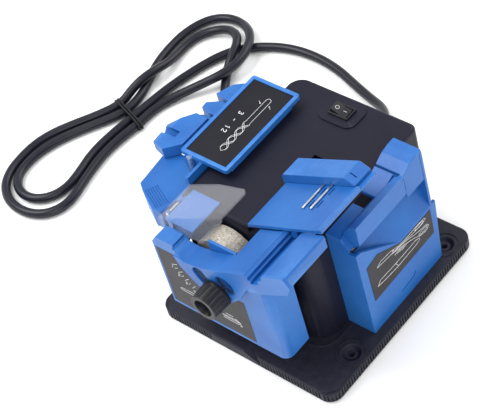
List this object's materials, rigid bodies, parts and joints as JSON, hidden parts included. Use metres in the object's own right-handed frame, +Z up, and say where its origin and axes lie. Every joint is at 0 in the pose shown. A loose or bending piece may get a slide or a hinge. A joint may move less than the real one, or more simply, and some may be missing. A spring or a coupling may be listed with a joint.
{
  "type": "drill bit sharpener",
  "caption": "Bench-top electric sharpener: grinding wheel with tilting drill cradle, clear guard, knife and scissor box, drill station, rocker switch and cord.",
  "frame": {"origin": "centre of the base footprint, on the surface the feet stand on", "axes": "+Z up, +X to the right along the front edge, +Y to the back"},
  "size_m": [0.4421, 0.3501, 0.1765],
  "materials": {
    "blue_plastic": "satin moulded plastic",
    "black_plastic": "fine-grained moulded plastic",
    "black_knob": "satin moulded plastic",
    "black_rubber": "matt rubber",
    "cord_jacket": "satin flexible cord jacket",
    "steel": "plated steel",
    "ferrite": "sintered ferrite",
    "copper": "wound copper and laminations",
    "abrasive": "bonded abrasive grit",
    "grey_label": "printed label",
    "dark_label": "printed label",
    "clear_guard": "clear polycarbonate"
  },
  "bodies": {
    "frame": {"base_plate": "black_plastic", "bottom_cover": "black_plastic", "rubber_feet": "black_rubber", "cover_screws": "steel", "motor_housing": "black_plastic", "front_pedestal": "black_plastic", "motor_can": "steel", "motor_front_bell": "steel", "motor_rear_bell": "steel", "motor_magnets": "ferrite", "motor_saddle": "black_plastic", "motor_strap": "steel", "strap_screws": "steel", "front_bearing": "steel", "rear_bearing": "steel", "drive_belt": "black_rubber", "knife_box": "blue_plastic", "scissor_table": "blue_plastic", "spindle_bearings": "steel", "front_bracket": "blue_plastic", "front_label": "grey_label", "pivot_pin": "steel", "guard_bracket": "blue_plastic", "guard_pin": "steel", "switch_bezel": "black_knob", "switch_body": "black_knob", "station_body": "blue_plastic", "station_frame": "blue_plastic", "station_label": "dark_label", "station_catches": "blue_plastic", "arm_pin": "steel", "jaw_rails": "steel", "cord_gland": "black_rubber", "cord_lead": "cord_jacket", "cord_tail": "cord_jacket", "cord_hank": "cord_jacket", "mains_plug": "black_knob", "cord_tie": "black_knob"},
    "rotor": {"motor_shaft": "steel", "armature": "copper", "commutator": "copper", "cooling_fan": "black_plastic", "motor_pulley": "black_plastic", "inner_washer": "steel", "grinding_wheel": "abrasive", "outer_washer": "steel", "wheel_nut": "steel"},
    "knife_rotor": {"knife_spindle": "steel", "honing_drum": "abrasive", "spindle_pulley": "black_plastic"},
    "cradle": {"tilt_cradle": "blue_plastic"},
    "carriage": {"carriage_plate": "blue_plastic", "clamp_block": "blue_plastic", "guide_wires": "steel"},
    "knob": {"lock_knob": "black_knob", "knob_stud": "steel"},
    "guard": {"spark_guard": "clear_guard"},
    "rocker": {"switch_rocker": "black_knob"},
    "arm": {"swing_arm": "blue_plastic"},
    "jaw": {"drill_jaw": "blue_plastic"}
  },
  "joints": [
    {"name": "wheel_spin", "type": "hinge", "parent": "frame", "child": "rotor", "pos_m": [-0.0174, 0, 0.095], "axis": [0, 1, 0], "continuous": true},
    {"name": "knife_spin", "type": "hinge", "parent": "frame", "child": "knife_rotor", "pos_m": [0.067, 0, 0.091], "axis": [0, 1, 0], "continuous": true},
    {"name": "cradle_tilt", "type": "hinge", "parent": "frame", "child": "cradle", "pos_m": [0.015, -0.1, 0.132], "axis": [0, -1, 0], "range_deg": [-10, 7]},
    {"name": "carriage_slide", "type": "slide", "parent": "cradle", "child": "carriage", "axis": [0, -1, 0], "range_m": [-0.01, 0.026]},
    {"name": "knob_turn", "type": "hinge", "parent": "frame", "child": "knob", "pos_m": [0.00756, -0.11, 0.10553], "axis": [0, 1, 0], "continuous": true},
    {"name": "guard_lift", "type": "hinge", "parent": "frame", "child": "guard", "pos_m": [-0.0668, -0.0695, 0.1265], "axis": [0, -1, 0], "range_deg": [0, 50]},
    {"name": "switch_rock", "type": "hinge", "parent": "frame", "child": "rocker", "pos_m": [-0.0055, 0.0785, 0.1298], "axis": [0, 1, 0], "range_deg": [-14, 0]},
    {"name": "arm_swing", "type": "hinge", "parent": "frame", "child": "arm", "pos_m": [-0.084, -0.026, 0.11], "axis": [0, 0, 1], "range_deg": [-20, 0]},
    {"name": "jaw_slide", "type": "slide", "parent": "frame", "child": "jaw", "axis": [-1, 0, 0], "range_m": [0, 0.007]}
  ],
  "couplings": [
    {"joint": "knife_spin", "follows": "wheel_spin", "ratio": 1}
  ]
}
